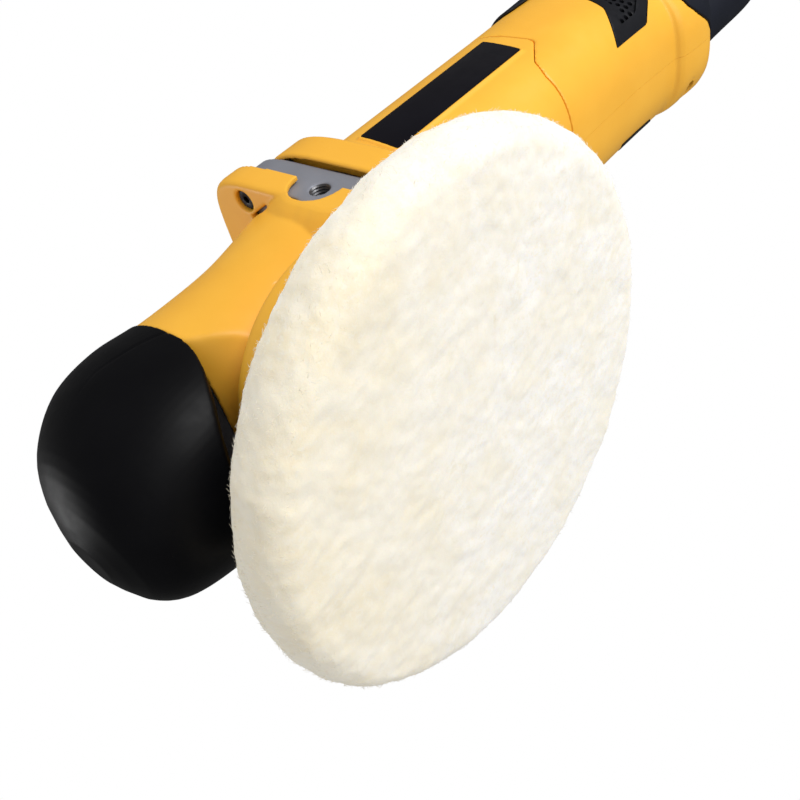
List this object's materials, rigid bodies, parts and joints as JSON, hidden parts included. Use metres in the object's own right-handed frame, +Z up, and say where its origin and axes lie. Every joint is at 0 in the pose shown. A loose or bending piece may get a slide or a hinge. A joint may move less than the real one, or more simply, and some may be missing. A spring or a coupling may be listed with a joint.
{
  "type": "rotary polisher",
  "caption": "Electric rotary polisher: round gear head with a soft nose cover, straight motor barrel, closed rear loop handle and a wool polishing pad on a backing plate.",
  "frame": {"origin": "centre of the wool pad's working face, on the spindle's axis", "axes": "+X towards the nose, along the motor; +Y towards the tool's left; +Z up along the spindle, away from the work"},
  "size_m": [0.5042, 0.1894, 0.1599],
  "materials": {
    "yellow_plastic": "satin injection-moulded glass-filled nylon, fine spark texture",
    "boot_rubber": "smooth satin elastomer",
    "grip_rubber": "fine-textured soft grip",
    "plate_rubber": "moulded rubber with a fine skin",
    "wool": "dense matted cut wool pile",
    "label_film": "plain dark inset panel, semi-gloss",
    "cast_alloy": "die-cast, fine-grained and dull",
    "black_plastic": "moulded black nylon",
    "brass": "drawn brass",
    "carbon": "pressed carbon",
    "copper": "enamelled copper winding",
    "circuit_board": "coated circuit board",
    "lamination_steel": "stacked electrical steel sheets",
    "bearing_steel": "ground bearing rings",
    "screw_steel": "blackened steel screws",
    "steel": "machined steel"
  },
  "bodies": {
    "body": {"armature_bearing_front": "bearing_steel", "armature_bearing_rear": "bearing_steel", "bearing_plate": "cast_alloy", "bearing_retainer": "steel", "brush_holder_left": "brass", "brush_holder_right": "brass", "brush_left": "carbon", "brush_right": "carbon", "cable_gland": "grip_rubber", "dust_seal": "grip_rubber", "end_bell": "black_plastic", "field_coil_left": "copper", "field_coil_right": "copper", "flange_screw_1": "screw_steel", "flange_screw_2": "screw_steel", "flange_screw_3": "screw_steel", "flange_screw_4": "screw_steel", "gear_case": "cast_alloy", "gear_cover": "yellow_plastic", "grip_overmould": "grip_rubber", "handle_screw_1": "screw_steel", "handle_screw_2": "screw_steel", "handle_screw_3": "screw_steel", "handle_screw_4": "screw_steel", "handle_shell_left": "yellow_plastic", "handle_shell_right": "yellow_plastic", "intermediate_bearing_front": "bearing_steel", "intermediate_bearing_rear": "bearing_steel", "label_left": "label_film", "label_right": "label_film", "lock_spring": "steel", "lower_bar_sleeve": "grip_rubber", "motor_housing": "yellow_plastic", "nose_boot": "boot_rubber", "retainer_screw_1": "screw_steel", "retainer_screw_2": "screw_steel", "retainer_screw_3": "screw_steel", "speed_board": "circuit_board", "spindle_bearing_lower": "bearing_steel", "spindle_bearing_upper": "bearing_steel", "stator_core": "lamination_steel", "switch_module": "black_plastic", "vent_left": "black_plastic", "vent_right": "black_plastic"},
    "spindle_assembly": {"spindle": "steel", "ring_gear": "steel", "backing_plate": "plate_rubber", "wool_pad": "wool"},
    "layshaft_assembly": {"intermediate_shaft": "steel", "intermediate_gear": "steel"},
    "armature_assembly": {"armature_shaft": "steel", "armature_core": "lamination_steel", "armature_winding_front": "copper", "armature_winding_rear": "copper", "commutator": "copper", "fan": "black_plastic"},
    "trigger_body": {"trigger": "black_plastic"},
    "lock_on_body": {"lock_on_button": "black_plastic"},
    "spindle_lock_body": {"lock_button": "black_plastic"},
    "speed_dial_body": {"speed_dial": "black_plastic"}
  },
  "joints": [
    {"name": "spindle_spin", "type": "hinge", "parent": "body", "child": "spindle_assembly", "pos_m": [0, 0, 0], "axis": [0, 0, 1], "continuous": true},
    {"name": "layshaft_spin", "type": "hinge", "parent": "body", "child": "layshaft_assembly", "pos_m": [0, 0, 0.084], "axis": [1, 0, 0], "continuous": true},
    {"name": "armature_spin", "type": "hinge", "parent": "body", "child": "armature_assembly", "pos_m": [0, 0, 0.104], "axis": [1, 0, 0], "continuous": true},
    {"name": "trigger_pull", "type": "hinge", "parent": "body", "child": "trigger_body", "pos_m": [-0.287, 0, 0.1315], "axis": [0, 1, 0], "range_deg": [0, 8], "stiffness_Nm_per_rad": 1, "springref_deg": -2.86},
    {"name": "lock_on_press", "type": "slide", "parent": "body", "child": "lock_on_body", "axis": [0, -1, 0], "range_m": [0, 0.0028], "stiffness_N_per_m": 800, "springref_m": -0.001},
    {"name": "spindle_lock_press", "type": "slide", "parent": "body", "child": "spindle_lock_body", "axis": [0, 0, -1], "range_m": [0, 0.0045], "stiffness_N_per_m": 1500, "springref_m": -0.001, "deforming": ["lock_spring"]},
    {"name": "speed_dial_turn", "type": "hinge", "parent": "body", "child": "speed_dial_body", "pos_m": [-0.236, 0, 0.138], "axis": [0, 1, 0], "range_deg": [0, 290]}
  ],
  "couplings": [
    {"joint": "layshaft_spin", "follows": "spindle_spin", "ratio": -3.3333},
    {"joint": "armature_spin", "follows": "spindle_spin", "ratio": 10}
  ]
}
